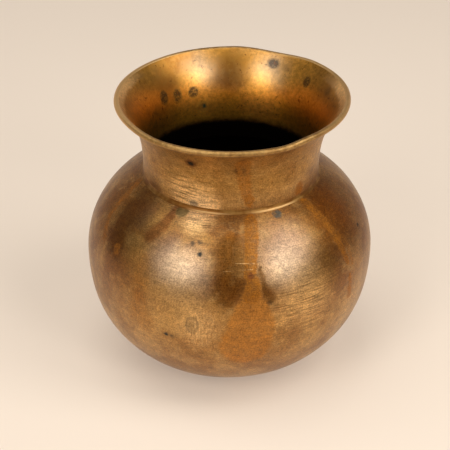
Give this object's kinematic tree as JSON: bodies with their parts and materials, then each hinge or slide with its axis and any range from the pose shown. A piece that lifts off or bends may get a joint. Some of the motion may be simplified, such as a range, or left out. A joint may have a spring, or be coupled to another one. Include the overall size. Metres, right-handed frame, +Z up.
{
  "type": "kalash pot",
  "caption": "Round-bellied brass water pot with a short narrow neck, a wide flared mouth and a wired lip, standing on a small flat base.",
  "frame": {"origin": "centre of the flat base, on the surface that the pot stands on", "axes": "+Z up along the axis of the pot; the pot is round, so X and Y are free"},
  "size_m": [0.13, 0.13, 0.1285],
  "materials": {
    "aged_brass": "aged and mottled, satin, with brushed turning marks and drip stains",
    "brass_wire": "drawn",
    "spelter": "cast, filed smooth"
  },
  "bodies": {
    "root": {"bowl": "aged_brass", "shoulder": "aged_brass", "neck": "aged_brass", "rim_wire": "brass_wire", "belly_braze": "spelter", "neck_braze": "spelter"}
  },
  "joints": []
}
